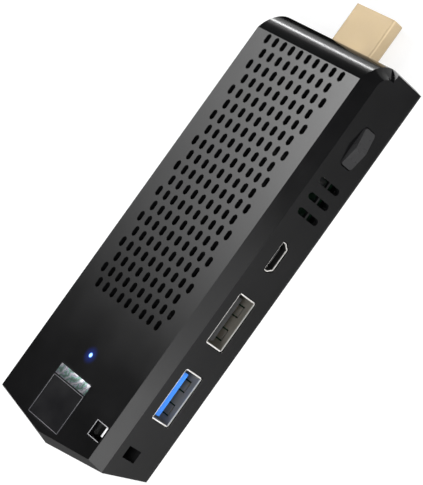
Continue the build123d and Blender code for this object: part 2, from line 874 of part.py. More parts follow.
# USB-A sockets: one pattern of shell, tongue and contacts, made twice
inner_width = socket_width - 2 * socket_sheet
inner_height = socket_height - 2 * socket_sheet
socket_low_z = socket_z - socket_height / 2
tongue_high_z = socket_z + inner_height / 2 - tongue_drop
tongue_low_z = tongue_high_z - tongue_thick
tongue_front_y = socket_y + tongue_setback
base_front_y = socket_back_y - socket_base_depth
base_half = inner_width / 2 - socket_base_gap
base_rise = inner_height / 2 - socket_base_gap
tab_middle_y = socket_y + socket_tab_setback + (socket_tab_length + socket_tab_cut) / 2
usb_contact_dxs = (-usb_contact_outer, -usb_contact_inner, usb_contact_inner, usb_contact_outer)

for name, x, contact_setback, pad_count in (
    ("usb2", socket_xs[0], usb_contact_setback, 0),
    ("usb3", socket_xs[1], usb3_contact_setback, usb3_pad_count),
):
    with BuildPart() as socket_shell:
        with BuildSketch(port_plane(x, socket_y, socket_z)):
            RectangleRounded(socket_width, socket_height, socket_corner_radius)
            Rectangle(inner_width, inner_height, mode=Mode.SUBTRACT)
        extrude(amount=-socket_depth)
        with BuildSketch(Plane.XY.offset(socket_low_z)):
            with Locations(*[(x + dx, tab_middle_y) for dx in (-socket_tab_offset, socket_tab_offset)]):
                Rectangle(socket_tab_width + 2 * socket_tab_cut, socket_tab_length + socket_tab_cut)
            tab_y = tab_middle_y + socket_tab_cut / 2
            with Locations(*[(x + dx, tab_y) for dx in (-socket_tab_offset, socket_tab_offset)]):
                Rectangle(socket_tab_width, socket_tab_length, mode=Mode.SUBTRACT)
        extrude(amount=socket_sheet, mode=Mode.SUBTRACT)
        for side in (-1, 1):
            for y in leg_ys:
                leg_x = x + side * leg_dx
                leg_foot_z = socket_low_z - socket_leg_length
                leg_low = (leg_x - socket_sheet / 2, y - socket_leg_width / 2, leg_foot_z)
                leg_high = (leg_x + socket_sheet / 2, y + socket_leg_width / 2, socket_z)
                block(leg_low, leg_high)
    socket_shell.part.label = f"{name}_shell"
    export_step(socket_shell.part, f"parts/{name}_shell.step")

    with BuildPart() as socket_tongue:
        base_low = (x - base_half, base_front_y, socket_z - base_rise)
        block(base_low, (x + base_half, socket_back_y, socket_z + base_rise))
        tongue_low = (x - tongue_width / 2, tongue_front_y, tongue_low_z)
        block(tongue_low, (x + tongue_width / 2, base_front_y, tongue_high_z))
    socket_tongue.part.label = f"{name}_tongue"
    export_step(socket_tongue.part, f"parts/{name}_tongue.step")

    with BuildPart() as socket_contacts:
        for dx in usb_contact_dxs:
            left, right = x + dx - usb_contact_width / 2, x + dx + usb_contact_width / 2
            strip_low = (left, tongue_front_y + contact_setback, tongue_low_z - usb_contact_thick)
            block(strip_low, (right, base_front_y, tongue_low_z))
            tail_left, tail_right = x + dx - usb_tail_width / 2, x + dx + usb_tail_width / 2
            tail_high = (tail_right, socket_back_y + usb_tail_thick, board_top + usb_tail_height)
            block((tail_left, socket_back_y, board_top), tail_high)
        for dx in spread(pad_count, usb3_pad_pitch):
            pad_y = tongue_front_y + usb3_pad_setback
            pad_low = (x + dx - usb3_pad_width / 2, pad_y, tongue_low_z - usb_contact_thick)
            block(pad_low, (x + dx + usb3_pad_width / 2, pad_y + usb3_pad_length, tongue_low_z))
    socket_contacts.part.label = f"{name}_contacts"
    export_step(socket_contacts.part, f"parts/{name}_contacts.step")

# Power inlet shell: a small folded tube
with BuildPart() as power_inlet_shell:
    with BuildSketch(port_plane(inlet_x, socket_y, inlet_z)):
        add(rounded_face(inlet_points, inlet_corner_radius))
        add(bore_face(inlet_points, inlet_sheet), mode=Mode.SUBTRACT)
    extrude(amount=-inlet_depth)
power_inlet_shell.part.label = "power_inlet_shell"
export_step(power_inlet_shell.part, "parts/power_inlet_shell.step")

# Power inlet tongue: plastic that fills the shell's rear and stands it off the board
foot_half = inlet_foot_width / 2
tongue_half = inlet_tongue_width / 2
blade_low_z = inlet_z + inlet_tongue_rise - inlet_tongue_thick / 2
blade_front_y = socket_y + inlet_tongue_setback
inlet_base_y = inlet_back_y - inlet_base_depth

with BuildPart() as power_inlet_tongue:
    with BuildSketch(port_plane(inlet_x, inlet_base_y, inlet_z)):
        add(bore_face(inlet_points, inlet_sheet + inlet_base_gap))
    extrude(amount=-inlet_base_depth)
    blade_low = (inlet_x - tongue_half, blade_front_y, blade_low_z)
    block(blade_low, (inlet_x + tongue_half, inlet_base_y, blade_low_z + inlet_tongue_thick))
    back_high = (inlet_x + foot_half, inlet_back_y + inlet_back_thick, inlet_z + inlet_height / 2)
    block((inlet_x - foot_half, inlet_back_y, board_top), back_high)
    foot_low = (inlet_x - foot_half, board_port_y, board_top)
    block(foot_low, (inlet_x + foot_half, inlet_back_y, inlet_low_z))
power_inlet_tongue.part.label = "power_inlet_tongue"
export_step(power_inlet_tongue.part, "parts/power_inlet_tongue.step")

# Power inlet contacts: strips under the tongue, and their tails on the board
with BuildPart() as power_inlet_contacts:
    for dx in spread(inlet_contact_count, inlet_contact_pitch):
        left = inlet_x + dx - inlet_contact_width / 2
        right = inlet_x + dx + inlet_contact_width / 2
        strip_low = (left, inlet_base_y - inlet_contact_length, blade_low_z - inlet_contact_thick)
        block(strip_low, (right, inlet_base_y, blade_low_z))
        tail_y = inlet_back_y + inlet_back_thick
        tail_high = (right, tail_y + inlet_tail_length, board_top + inlet_contact_thick)
        block((left, tail_y, board_top), tail_high)
power_inlet_contacts.part.label = "power_inlet_contacts"
export_step(power_inlet_contacts.part, "parts/power_inlet_contacts.step")

# Power button: a key with two sloping faces that meet in a ridge, on a flange behind the wall
button_half = button_length / 2
end_y = -half_width - button_end_proud
ridge_y = -half_width - button_ridge_proud

with BuildPart() as power_button:
    with BuildSketch(port_plane(button_x, flange_front_y, button_z)):
        RectangleRounded(button_length, button_height, button_opening_radius - button_gap)
    extrude(amount=flange_front_y - ridge_y + overrun)
    with BuildSketch(Plane.XY.offset(button_z)):
        with BuildLine():
            Polyline(
                (button_x - button_half, flange_back_y),
                (button_x - button_half, end_y),
                (button_x, ridge_y),
                (button_x + button_half, end_y),
                (button_x + button_half, flange_back_y),
                close=True,
            )
        make_face()
    extrude(amount=button_height, both=True, mode=Mode.INTERSECT)
    flange_half = button_opening_length / 2 + button_flange_overlap
    flange_rise = button_opening_height / 2 + button_flange_overlap
    flange_low = (button_x - flange_half, flange_front_y, button_z - flange_rise)
    block(flange_low, (button_x + flange_half, flange_back_y, button_z + flange_rise))
power_button.part.label = "power_button"
export_step(power_button.part, "parts/power_button.step")

# Power switch body: stands on the board behind the button, with a well for its plunger
well_depth = plunger_depth_inside + button_travel + plunger_end_gap
plunger_half = plunger_width / 2
plunger_rise = plunger_height / 2

with BuildPart() as power_switch_body:
    body_low = (button_x - switch_length / 2, switch_front_y, board_top)
    body_high = (button_x + switch_length / 2, switch_front_y + switch_depth, board_top + switch_height)
    block(body_low, body_high)
    well_half = plunger_half + plunger_gap
    well_rise = plunger_rise + plunger_gap
    hollow_low = (button_x - well_half, switch_front_y, plunger_z - well_rise)
    hollow_high = (button_x + well_half, switch_front_y + well_depth, plunger_z + well_rise)
    block(hollow_low, hollow_high, Mode.SUBTRACT)
power_switch_body.part.label = "power_switch_body"
export_step(power_switch_body.part, "parts/power_switch_body.step")

# Power switch plunger: carried by the button, it slides in the switch
with BuildPart() as power_switch_plunger:
    plunger_low = (button_x - plunger_half, flange_back_y, plunger_z - plunger_rise)
    plunger_back_y = switch_front_y + plunger_depth_inside
    block(plunger_low, (button_x + plunger_half, plunger_back_y, plunger_z + plunger_rise))
power_switch_plunger.part.label = "power_switch_plunger"
export_step(power_switch_plunger.part, "parts/power_switch_plunger.step")

# Processor: a wide carrier with the bare chip on top
with BuildPart() as processor:
    chip(processor_x, processor_y, (processor_width, processor_width, processor_height))
    chip(processor_x, processor_y, (die_width, die_width, processor_height + die_height))
processor.part.label = "processor"
export_step(processor.part, "parts/processor.step")

# Thermal pad between the chip and the heat sink
with BuildPart() as thermal_pad:
    pad_half = pad_width / 2
    pad_low = (processor_x - pad_half, processor_y - pad_half, die_top)
    block(pad_low, (processor_x + pad_half, processor_y + pad_half, sink_bottom))
thermal_pad.part.label = "thermal_pad"
export_step(thermal_pad.part, "parts/thermal_pad.step")

# Heat sink: a finned plate on two drilled legs
with BuildPart() as heat_sink:
    plate_low = (sink_x - sink_length / 2, sink_y - sink_width / 2, sink_bottom)
    block(plate_low, (sink_x + sink_length / 2, sink_y + sink_width / 2, sink_bottom + sink_base))
    for dy in spread(sink_fin_count, sink_fin_pitch):
        fin_low = (sink_x - sink_length / 2, sink_y + dy - sink_fin_thick / 2, sink_bottom)
        block(fin_low, (sink_x + sink_length / 2, sink_y + dy + sink_fin_thick / 2, sink_top))
    post(sink_screw_spots, board_top, sink_bottom, sink_leg_radius)
    bore_radius = sink_screw_radius + sink_screw_gap
    post(sink_screw_spots, board_top, sink_bottom + sink_base, bore_radius, Mode.SUBTRACT)
heat_sink.part.label = "heat_sink"
export_step(heat_sink.part, "parts/heat_sink.step")

# Heat sink screws: down between the fins, through the legs and the board
with BuildPart() as heat_sink_screws:
    screw_seat_z = sink_bottom + sink_base
    post(sink_screw_spots, board_bottom, screw_seat_z, sink_screw_radius)
    screw_top_z = screw_seat_z + sink_screw_head_height
    post(sink_screw_spots, screw_seat_z, screw_top_z, sink_screw_head_radius)
heat_sink_screws.part.label = "heat_sink_screws"
export_step(heat_sink_screws.part, "parts/heat_sink_screws.step")

# Memory chips
with BuildPart() as memory_chips:
    for dy in spread(memory_count, memory_pitch):
        chip(memory_x, memory_y + dy, memory_size)
memory_chips.part.label = "memory_chips"
export_step(memory_chips.part, "parts/memory_chips.step")

# Storage chip
with BuildPart() as storage_chip:
    chip(storage_x, storage_y, storage_size)
storage_chip.part.label = "storage_chip"
export_step(storage_chip.part, "parts/storage_chip.step")

# Power controller chip
with BuildPart() as power_controller:
    chip(power_chip_x, power_chip_y, power_chip_size)
power_controller.part.label = "power_controller"
export_step(power_controller.part, "parts/power_controller.step")

# Power inductors: square blocks with their upright edges cut
with BuildPart() as power_inductors:
    for dy in spread(inductor_count, inductor_pitch):
        chip(inductor_x, dy, inductor_size)
    chamfer(power_inductors.edges().filter_by(Axis.Z), inductor_corner)
power_inductors.part.label = "power_inductors"
export_step(power_inductors.part, "parts/power_inductors.step")

# Capacitors in a row
with BuildPart() as capacitors:
    for dy in spread(capacitor_count, capacitor_pitch):
        chip(capacitor_x, capacitor_y + dy, capacitor_size)
capacitors.part.label = "capacitors"
export_step(capacitors.part, "parts/capacitors.step")

# Clock crystal
with BuildPart() as clock_crystal:
    chip(crystal_x, crystal_y, crystal_size)
clock_crystal.part.label = "clock_crystal"
export_step(clock_crystal.part, "parts/clock_crystal.step")

# Wireless board: a small card soldered flat on the main board
card_low = (wireless_x - wireless_length / 2, wireless_front_y, board_top)
card_high = (wireless_x + wireless_length / 2, wireless_back_y, board_top + wireless_thick)

with BuildPart() as wireless_board:
    block(card_low, card_high)
wireless_board.part.label = "wireless_board"
export_step(wireless_board.part, "parts/wireless_board.step")

# Wireless shield: a thin can on the card, open below
with BuildPart() as wireless_shield:
    can_low = (card_low[0] + shield_end_inset, card_low[1] + shield_front_inset, card_high[2])
    can_top = card_high[2] + shield_height
    can_high = (card_high[0] - shield_end_inset, card_high[1] - shield_back_inset, can_top)
    block(can_low, can_high)
    void_low = (can_low[0] + shield_sheet, can_low[1] + shield_sheet, card_high[2])
    void_high = [edge - shield_sheet for edge in can_high]
    block(void_low, void_high, Mode.SUBTRACT)
wireless_shield.part.label = "wireless_shield"
export_step(wireless_shield.part, "parts/wireless_shield.step")

# Wireless antenna: a strip folded into a foot, a wall and a roof
with BuildPart() as wireless_antenna:
    half_length, half_depth = antenna_length / 2, antenna_width / 2
    near_y, far_y = antenna_y - half_depth, antenna_y + half_depth
    antenna_top = board_top + antenna_height
    left, right = antenna_x - half_length, antenna_x + half_length
    block((left, near_y, board_top), (right, far_y, board_top + antenna_sheet))
    block((left, far_y - antenna_sheet, board_top), (right, far_y, antenna_top))
    block((left, near_y, antenna_top - antenna_sheet), (right, far_y, antenna_top))
wireless_antenna.part.label = "wireless_antenna"
export_step(wireless_antenna.part, "parts/wireless_antenna.step")

# Clock battery: a flat coin on the board
with BuildPart() as clock_battery:
    with BuildSketch(Plane.XY.offset(board_top)):
        with Locations((battery_x, battery_y)):
            Circle(battery_radius)
    extrude(amount=battery_height)
clock_battery.part.label = "clock_battery"
export_step(clock_battery.part, "parts/clock_battery.step")

# Battery clip: a strap over the coin with a foot at each end
with BuildPart() as battery_clip:
    strap_z = board_top + battery_height + clip_thick
    foot_reach = clip_reach + clip_foot
    with BuildSketch(Plane.XZ.offset(-battery_y)):
        with BuildLine():
            Polyline(
                (battery_x - foot_reach, board_top),
                (battery_x - clip_reach + clip_thick, board_top),
                (battery_x - clip_reach + clip_thick, strap_z - clip_thick),
                (battery_x + clip_reach - clip_thick, strap_z - clip_thick),
                (battery_x + clip_reach - clip_thick, board_top),
                (battery_x + foot_reach, board_top),
                (battery_x + foot_reach, board_top + clip_thick),
                (battery_x + clip_reach, board_top + clip_thick),
                (battery_x + clip_reach, strap_z),
                (battery_x - clip_reach, strap_z),
                (battery_x - clip_reach, board_top + clip_thick),
                (battery_x - foot_reach, board_top + clip_thick),
                close=True,
            )
        make_face()
    extrude(amount=clip_width / 2, both=True)
battery_clip.part.label = "battery_clip"
export_step(battery_clip.part, "parts/battery_clip.step")

# Status light on the board, under the light pipe
with BuildPart() as status_led:
    chip(light_x, 0, led_size)
status_led.part.label = "status_led"
export_step(status_led.part, "parts/status_led.step")

# Light pipe: a clear rod from above the status light to the top of the housing
pipe_low_z = board_top + led_size[2] + led_gap

with BuildPart() as light_pipe:
    with BuildSketch(Plane.XY.offset(pipe_low_z)):
        with Locations((light_x, 0)):
            RegularPolygon(light_radius, light_sides)
    extrude(amount=body_height - pipe_low_z)
light_pipe.part.label = "light_pipe"
export_step(light_pipe.part, "parts/light_pipe.step")

# Front label: a thin plate on the flat of the top
with BuildPart() as front_label:
    with BuildSketch(Plane.XY.offset(body_height)):
        with Locations((label_x, 0)):
            RectangleRounded(label_length, label_width, label_radius)
    extrude(amount=label_thick)
front_label.part.label = "front_label"
export_step(front_label.part, "parts/front_label.step")
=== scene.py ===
"""Looks of a stick computer: finishes, small trim, light and camera, in metres."""
import json
from math import cos, radians, sin

import bmesh
import bpy
from mathutils import Matrix, Vector


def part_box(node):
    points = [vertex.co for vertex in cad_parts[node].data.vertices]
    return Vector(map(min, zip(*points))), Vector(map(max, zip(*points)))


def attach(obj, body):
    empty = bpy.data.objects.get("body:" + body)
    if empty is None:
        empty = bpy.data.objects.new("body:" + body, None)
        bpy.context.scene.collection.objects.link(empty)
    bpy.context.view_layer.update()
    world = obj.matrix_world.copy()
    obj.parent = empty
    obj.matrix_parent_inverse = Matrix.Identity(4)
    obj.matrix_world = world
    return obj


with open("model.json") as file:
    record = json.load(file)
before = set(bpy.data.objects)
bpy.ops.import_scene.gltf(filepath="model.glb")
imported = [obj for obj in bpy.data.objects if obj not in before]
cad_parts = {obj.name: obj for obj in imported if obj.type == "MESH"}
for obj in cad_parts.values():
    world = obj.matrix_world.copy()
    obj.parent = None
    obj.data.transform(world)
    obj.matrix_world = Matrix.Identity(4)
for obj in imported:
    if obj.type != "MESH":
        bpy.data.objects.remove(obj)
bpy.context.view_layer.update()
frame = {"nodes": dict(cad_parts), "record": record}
nodes = frame["nodes"]
MM = 0.001
WHITE, BLACK = (1, 1, 1, 1), (0, 0, 0, 1)
WHOLE = (0.0, 1.0)

# Camera: the photograph's viewing angle in degrees, rolled about the line of sight
VIEW_AZIMUTH = 2.296
VIEW_ELEVATION = 42.346
VIEW_ROLL = -52.938
VIEW_DISTANCE = 458.68 * MM
VIEW_TARGET = Vector((2.16, -1.46, 7.0)) * MM
FOCAL_PIXELS = 2050.2
IMAGE_HEIGHT = 485
SENSOR_HEIGHT = 36.0
NEAREST_SEEN = 10 * MM

# Lamps, all aimed at the camera's target: name, place, size and watts
LAMPS = (
    ("key", (-0.85, -0.5, 0.7), (0.3, 0.3), 12.0),
    ("top", (0.1, -0.1, 1.1), (0.9, 0.9), 3.0),
    ("front", (-0.295, -0.62, 0.58), (0.42, 0.35), 2.4),
    ("side", (-0.025, -0.62, 0.58), (0.14, 0.35), 0.31),
    ("rim", (0.6, 0.68, 0.038), (0.3, 0.045), 0.8),
    ("fill", (0.5, -0.65, 0.14), (0.2, 0.2), 5.0),
)
WORLD_LEVEL = 0.09

# Card: a lit panel behind the object that the top mirrors, with its turn and elevation in degrees.
# Its strength goes from one level to another over a part of its height, times a power of how far
# along its width a point lies
CARD_DISTANCE = 0.9
CARD_ELEVATION = 42
CARD_TURNS = (-6, 20)
CARD_HALF_HEIGHT = 0.3
CARD_FADE = (0.41, 0.58)
CARD_LEVELS = (4.7, 15.6)
CARD_RISE = 1.15

# Flags: cards on the floor that the upright faces mirror in its place, each with its two corners
# and its greys at the end away from the plug and at the end towards it
FLAG_HEIGHT = 0.4 * MM
FLAGS = (
    ("nose", (0.058, 0.0), (0.1, 0.15), (0.004, 0.004)),
    ("end", (-0.25, -0.015), (-0.058, 0.15), (0.16, 0.16)),
    ("front", (-0.058, -0.14), (0.062, -0.0218), (1.0, 0.31)),
)

# Floor: a disc with a low backdrop round it
FLOOR_COLOUR = (0.3, 0.3, 0.3, 1)
FLOOR_GLOW = 0.78
FLOOR_RADIUS = 3.0
FLOOR_SIDES = 48
FLOOR_DROP = 0.05 * MM
BACKDROP_HEIGHT = 0.6
MATTE = {"Roughness": 1.0, "Specular IOR Level": 0.0}

# Edges: the angles up to which they are smooth, and how wide those of small nodes are rounded
SMOOTH_ANGLE = radians(12)
ROUND_ANGLE = radians(38)
ROUND_SEGMENTS = 2
ROUND_PROFILE = 0.5
SEAM_GAP = 0.002 * MM
SOFT_EDGES = {
    "hdmi_plug_shell": 0.12 * MM,
    "power_button": 0.12 * MM,
    "usb2_shell": 0.08 * MM,
    "usb3_shell": 0.08 * MM,
    "power_inlet_shell": 0.06 * MM,
}

# Noise: the limits that it is stretched from, how fine it is, and the size of colour patches
NOISE_LIMITS = (0.3, 0.7)
PATCH_DETAIL, GRAIN_DETAIL = 3.0, 2.0
PATCH_SIZE = 6 * MM

# Plain finishes by slot: darkest and lightest colour, roughness limits, grain size and relief,
# then, where they aren't the usual ones, metalness, refraction and patch size
PLASTIC_IOR, DARK_IOR = 1.5, 1.35
LED_COLOUR, LED_STRENGTH = (0.3, 0.55, 1.0), 2.0
WINDOW_RIM = (0.01, 0.05, 0.3)
FINISH_ROWS = {
    "housing_plastic": (
        (0.003, 0.003, 0.0032), (0.0048, 0.0048, 0.0052), (0.14, 0.18), 0.25 * MM, 0.0005 * MM,
        0.0, DARK_IOR, 9 * MM,
    ),
    "cover_plastic": ((0.007, 0.007, 0.0075), (0.012, 0.012, 0.013), (0.4, 0.55), 0.2 * MM, 0.004 * MM),
    "screw_steel": ((0.07, 0.07, 0.075), (0.16, 0.16, 0.17), (0.3, 0.5), 0.1 * MM, 0.002 * MM, 1.0),
    "label_film": (
        (0.004, 0.004, 0.005), (0.007, 0.007, 0.008), (0.2, 0.26), 0.3 * MM, 0.001 * MM, 0.0, DARK_IOR,
    ),
    "clear_plastic": (WINDOW_RIM, WINDOW_RIM, (0.15, 0.25), 0.4 * MM, 0.001 * MM),
    "plug_gold": ((0.52, 0.41, 0.26), (0.56, 0.45, 0.3), (0.52, 0.6), 0.12 * MM, 0.0012 * MM, 0.9),
    "connector_black": ((0.008, 0.008, 0.008), (0.014, 0.014, 0.014), (0.45, 0.6), 0.2 * MM, 0.003 * MM),
    "contact_gold": ((0.75, 0.5, 0.18), (0.85, 0.6, 0.26), (0.2, 0.3), 0.1 * MM, 0.001 * MM, 1.0),
    "chip_black": ((0.01, 0.01, 0.011), (0.018, 0.018, 0.019), (0.5, 0.65), 0.15 * MM, 0.004 * MM),
    "pad_grey": ((0.2, 0.22, 0.25), (0.28, 0.3, 0.33), (0.6, 0.75), 0.3 * MM, 0.01 * MM),
    "sink_black": ((0.008, 0.008, 0.009), (0.016, 0.016, 0.018), (0.4, 0.5), 0.15 * MM, 0.003 * MM, 0.4),
    "inductor_grey": ((0.04, 0.04, 0.042), (0.07, 0.07, 0.072), (0.5, 0.7), 0.2 * MM, 0.01 * MM),
    "capacitor_tan": ((0.2, 0.12, 0.06), (0.28, 0.18, 0.1), (0.4, 0.55), 0.2 * MM, 0.004 * MM),
    "tin_metal": ((0.42, 0.42, 0.4), (0.55, 0.55, 0.53), (0.3, 0.42), 0.2 * MM, 0.002 * MM, 1.0),
    "battery_steel": ((0.5, 0.5, 0.5), (0.62, 0.62, 0.62), (0.2, 0.34), 0.2 * MM, 0.001 * MM, 1.0),
    "led_white": (LED_COLOUR, LED_COLOUR, (0.3, 0.4), 0.4 * MM, 0.001 * MM),
    "tongue_black": ((0.012, 0.012, 0.012), (0.02, 0.02, 0.02), (0.4, 0.5), 0.2 * MM, 0.002 * MM),
    "tongue_blue": ((0.03, 0.21, 0.8), (0.05, 0.27, 0.9), (0.35, 0.45), 0.2 * MM, 0.002 * MM),
    "button_plastic": ((0.02, 0.02, 0.021), (0.026, 0.026, 0.027), (0.24, 0.32), 0.2 * MM, 0.002 * MM),
    "switch_plastic": ((0.01, 0.01, 0.01), (0.016, 0.016, 0.016), (0.5, 0.6), 0.2 * MM, 0.003 * MM),
}

# Glow round the status light: colour, the distances between which it falls off, and strength
STATUS_GLOWS = {
    "housing_plastic": ((0.02, 0.09, 0.9), (0.5 * MM, 2.6 * MM), 0.13),
    "clear_plastic": ((0.25, 0.5, 1.0), (0.2 * MM, 0.68 * MM), 3.5),
}

# Board: solder mask over tracks
BOARD_COLOURS = ((0.006, 0.03, 0.014), (0.012, 0.055, 0.024))
BOARD_PITCH = 1.6 * MM
BOARD_WAVE = {"Distortion": 6.0, "Detail": 1.0}
BOARD_PATCH = 4 * MM
BOARD_ROUGH = (0.3, 0.42)
BOARD_RELIEF = 0.02 * MM

# Foil: the silver strip of the label
FOIL_PLACES = (0.0, 0.3, 0.5, 0.7, 1.0)
FOIL_HUES = (
    (0.08, 0.11, 0.1),
    (0.12, 0.25, 0.2),
    (0.29, 0.24, 0.34),
    (0.11, 0.11, 0.13),
    (0.36, 0.36, 0.38),
)
FOIL_PITCH = 5 * MM
FOIL_WAVE = {"Distortion": 7.0, "Detail": 3.0, "Detail Scale": 2.5}
FOIL_METAL = 0.7
FOIL_PATCH = 1.2 * MM
FOIL_ROUGH = (0.28, 0.42)
FOIL_RELIEF = 0.004 * MM

# Sockets: plated metal with a painted highlight at the lip and painted shade inside, with those two
# depths along Y
SOCKET_SHADE_DEPTHS = (-21.3 * MM, -21.05 * MM)
SOCKET_LIP_HIGHLIGHT = (0.95, 0.93, 0.9)
# Inside colours: painted shade, nearly black in the inlet
SOCKET_PAINTED_SHADES = {"socket_nickel": (0.5, 0.48, 0.43), "inlet_nickel": (0.05, 0.05, 0.05)}
SOCKET_METAL = 0.85
SOCKET_ROUGH = (0.3, 0.4)
SOCKET_GRAIN = 0.15 * MM
SOCKET_RELIEF = 0.001 * MM
NODE_FINISHES = {"power_inlet_shell": "inlet_nickel"}

# Trim: finishes, and the thin pieces on the label and the painted highlights round the lanyard's opening
TRIM_SURFACE = ((0.3, 0.4), 0.3 * MM, 0.001 * MM)
TRIM_COLOURS = {
    "label_line": ((0.09, 0.09, 0.1), (0.14, 0.14, 0.15)),
    # The lanyard's colours are painted highlights: a rim catching light and a lit inner wall
    "lanyard_rim_highlight": ((0.26, 0.26, 0.27), (0.36, 0.36, 0.37)),
    "lanyard_lip": ((0.66, 0.66, 0.67), (0.78, 0.78, 0.79)),
}
LABEL_STRIP = 2.9 * MM
LABEL_RISE = 0.04 * MM
LABEL_ROUND = LABEL_RISE / 3
LABEL_MARGIN = 0.35 * MM
LABEL_EDGE = 0.14 * MM
# Painted highlights round the lanyard's opening: its size, the rim's width and rise, and the width and
# depth of the lit lip
LANYARD_LENGTH, LANYARD_WIDTH = 3.6 * MM, 4.2 * MM
LANYARD_EDGE = 0.18 * MM
LANYARD_RISE = 0.03 * MM
LANYARD_ROUND = LANYARD_RISE / 3
LANYARD_LIP = 0.5 * MM
LANYARD_LIP_DEPTH = 0.25 * MM


def feed(tree, node, inputs):
    """Sets a node's inputs, each to a value or to another node's output."""
    for name, value in inputs.items():
        if isinstance(value, bpy.types.NodeSocket):
            tree.links.new(value, node.inputs[name])
        else:
            node.inputs[name].default_value = value


def add_node(tree, kind, inputs=None, **settings):
    """A shader node with its settings and inputs."""
    node = tree.nodes.new(kind)
    for name, value in settings.items():
        setattr(node, name, value)
    feed(tree, node, inputs or {})
    return node


def shader_of(material):
    """The Principled shader of a material."""
    return material.node_tree.nodes["Principled BSDF"]


def new_material(name, inputs=None):
    """A node material, with some of its shader's inputs set."""
    material = bpy.data.materials.new(name)
    material.use_nodes = True
    feed(material.node_tree, shader_of(material), inputs or {})
    return material, material.node_tree, shader_of(material)


def place(tree, kind="Object"):
    """Where a point lies, in metres, or as a share of its piece's box if the kind is Generated."""
    return add_node(tree, "ShaderNodeTexCoord").outputs[kind]


def place_by_axis(tree, kind="Object"):
    """Where a point lies, with an output for each axis."""
    return add_node(tree, "ShaderNodeSeparateXYZ", {"Vector": place(tree, kind)}).outputs


def object_noise(tree, size, detail=PATCH_DETAIL):
    """Noise of a given grain size in metres, fixed to the object."""
    inputs = {"Vector": place(tree), "Scale": 1 / size, "Detail": detail}
    return add_node(tree, "ShaderNodeTexNoise", inputs).outputs["Fac"]


def object_wave(tree, pitch, shape, direction="X"):
    """Uneven bands of a given pitch in metres, fixed to the object."""
    inputs = {"Vector": place(tree), "Scale": 1 / pitch, **shape}
    return add_node(tree, "ShaderNodeTexWave", inputs, bands_direction=direction).outputs["Fac"]


def carry_over(tree, source, before, after, kind="LINEAR"):
    """A value carried over from one pair of limits to another, and held there."""
    names = ("Value", "From Min", "From Max", "To Min", "To Max")
    inputs = dict(zip(names, (source, *before, *after)))
    return add_node(tree, "ShaderNodeMapRange", inputs, interpolation_type=kind).outputs["Result"]


def calculate(tree, operation, first, second):
    """What a Math node makes of two values or outputs."""
    return add_node(tree, "ShaderNodeMath", {0: first, 1: second}, operation=operation).outputs["Value"]


def colour_ramp(tree, source, places, colours):
    """A value turned into a colour between those at its places."""
    ramp = add_node(tree, "ShaderNodeValToRGB", {"Fac": source})
    elements = ramp.color_ramp.elements
    elements.remove(elements[1])
    elements[0].position = places[0]
    for position in places[1:]:
        elements.new(position)
    for element, colour in zip(elements, colours):
        element.color = (*colour, 1)
    return ramp.outputs["Color"]


def add_bump(tree, shader, height, depth):
    """Relief of a given depth in metres."""
    bump = add_node(tree, "ShaderNodeBump", {"Strength": 1.0, "Distance": depth, "Height": height})
    feed(tree, shader, {"Normal": bump.outputs["Normal"]})


def finish(name, dark, light, rough, grain, relief, metal=0.0, ior=PLASTIC_IOR, patch=PATCH_SIZE):
    """A finish with colour patches, uneven roughness and a fine grain."""
    material, tree, shader = new_material(name, {"Metallic": metal, "IOR": ior})
    patches = object_noise(tree, patch)
    feed(tree, shader, {
        "Base Color": colour_ramp(tree, patches, NOISE_LIMITS, (dark, light)),
        "Roughness": carry_over(tree, patches, NOISE_LIMITS, rough),
    })
    add_bump(tree, shader, object_noise(tree, grain, GRAIN_DETAIL), relief)
    return material


def add_status_glow(material, colour, falloff, strength):
    """Lights a finish at the status light's window, and less with the distance from its middle."""
    low, high = (Vector(corner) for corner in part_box("light_pipe"))
    middle = ((low.x + high.x) / 2, (low.y + high.y) / 2, high.z)
    tree = material.node_tree
    distance = add_node(tree, "ShaderNodeVectorMath", {0: place(tree), 1: middle}, operation="DISTANCE")
    level = carry_over(tree, distance.outputs["Value"], falloff, (strength, 0.0), "SMOOTHERSTEP")
    feed(tree, shader_of(material), {"Emission Color": (*colour, 1), "Emission Strength": level})


def board_finish():
    """Solder mask with the faint lines of its tracks."""
    material, tree, shader = new_material("board_green")
    tracks = object_wave(tree, BOARD_PITCH, BOARD_WAVE)
    feed(tree, shader, {
        "Base Color": colour_ramp(tree, tracks, NOISE_LIMITS, BOARD_COLOURS),
        "Roughness": carry_over(tree, object_noise(tree, BOARD_PATCH), NOISE_LIMITS, BOARD_ROUGH),
    })
    add_bump(tree, shader, tracks, BOARD_RELIEF)
    return material


def foil_finish():
    """Silver film with faint bands of other hues."""
    material, tree, shader = new_material("label_foil", {"Metallic": FOIL_METAL})
    bands = object_wave(tree, FOIL_PITCH, FOIL_WAVE, "DIAGONAL")
    patches = object_noise(tree, FOIL_PATCH)
    feed(tree, shader, {
        "Base Color": colour_ramp(tree, bands, FOIL_PLACES, FOIL_HUES),
        "Roughness": carry_over(tree, patches, NOISE_LIMITS, FOIL_ROUGH),
    })
    add_bump(tree, shader, patches, FOIL_RELIEF)
    return material


def socket_shaded_finish(name):
    """Plated sheet metal, with a painted highlight at the lip of the socket and painted shade inside its
    mouth.
    """
    material, tree, shader = new_material(name, {"Metallic": SOCKET_METAL})
    depth = carry_over(tree, place_by_axis(tree)["Y"], SOCKET_SHADE_DEPTHS, WHOLE)
    feed(tree, shader, {
        "Base Color": colour_ramp(tree, depth, WHOLE, (SOCKET_LIP_HIGHLIGHT, SOCKET_PAINTED_SHADES[name])),
        "Roughness": carry_over(tree, object_noise(tree, PATCH_SIZE), NOISE_LIMITS, SOCKET_ROUGH),
    })
    add_bump(tree, shader, object_noise(tree, SOCKET_GRAIN, GRAIN_DETAIL), SOCKET_RELIEF)
    return material


def trim_finish(name):
    """A paler finish for a line of trim or for a painted highlight."""
    return finish(name, *TRIM_COLOURS[name], *TRIM_SURFACE)


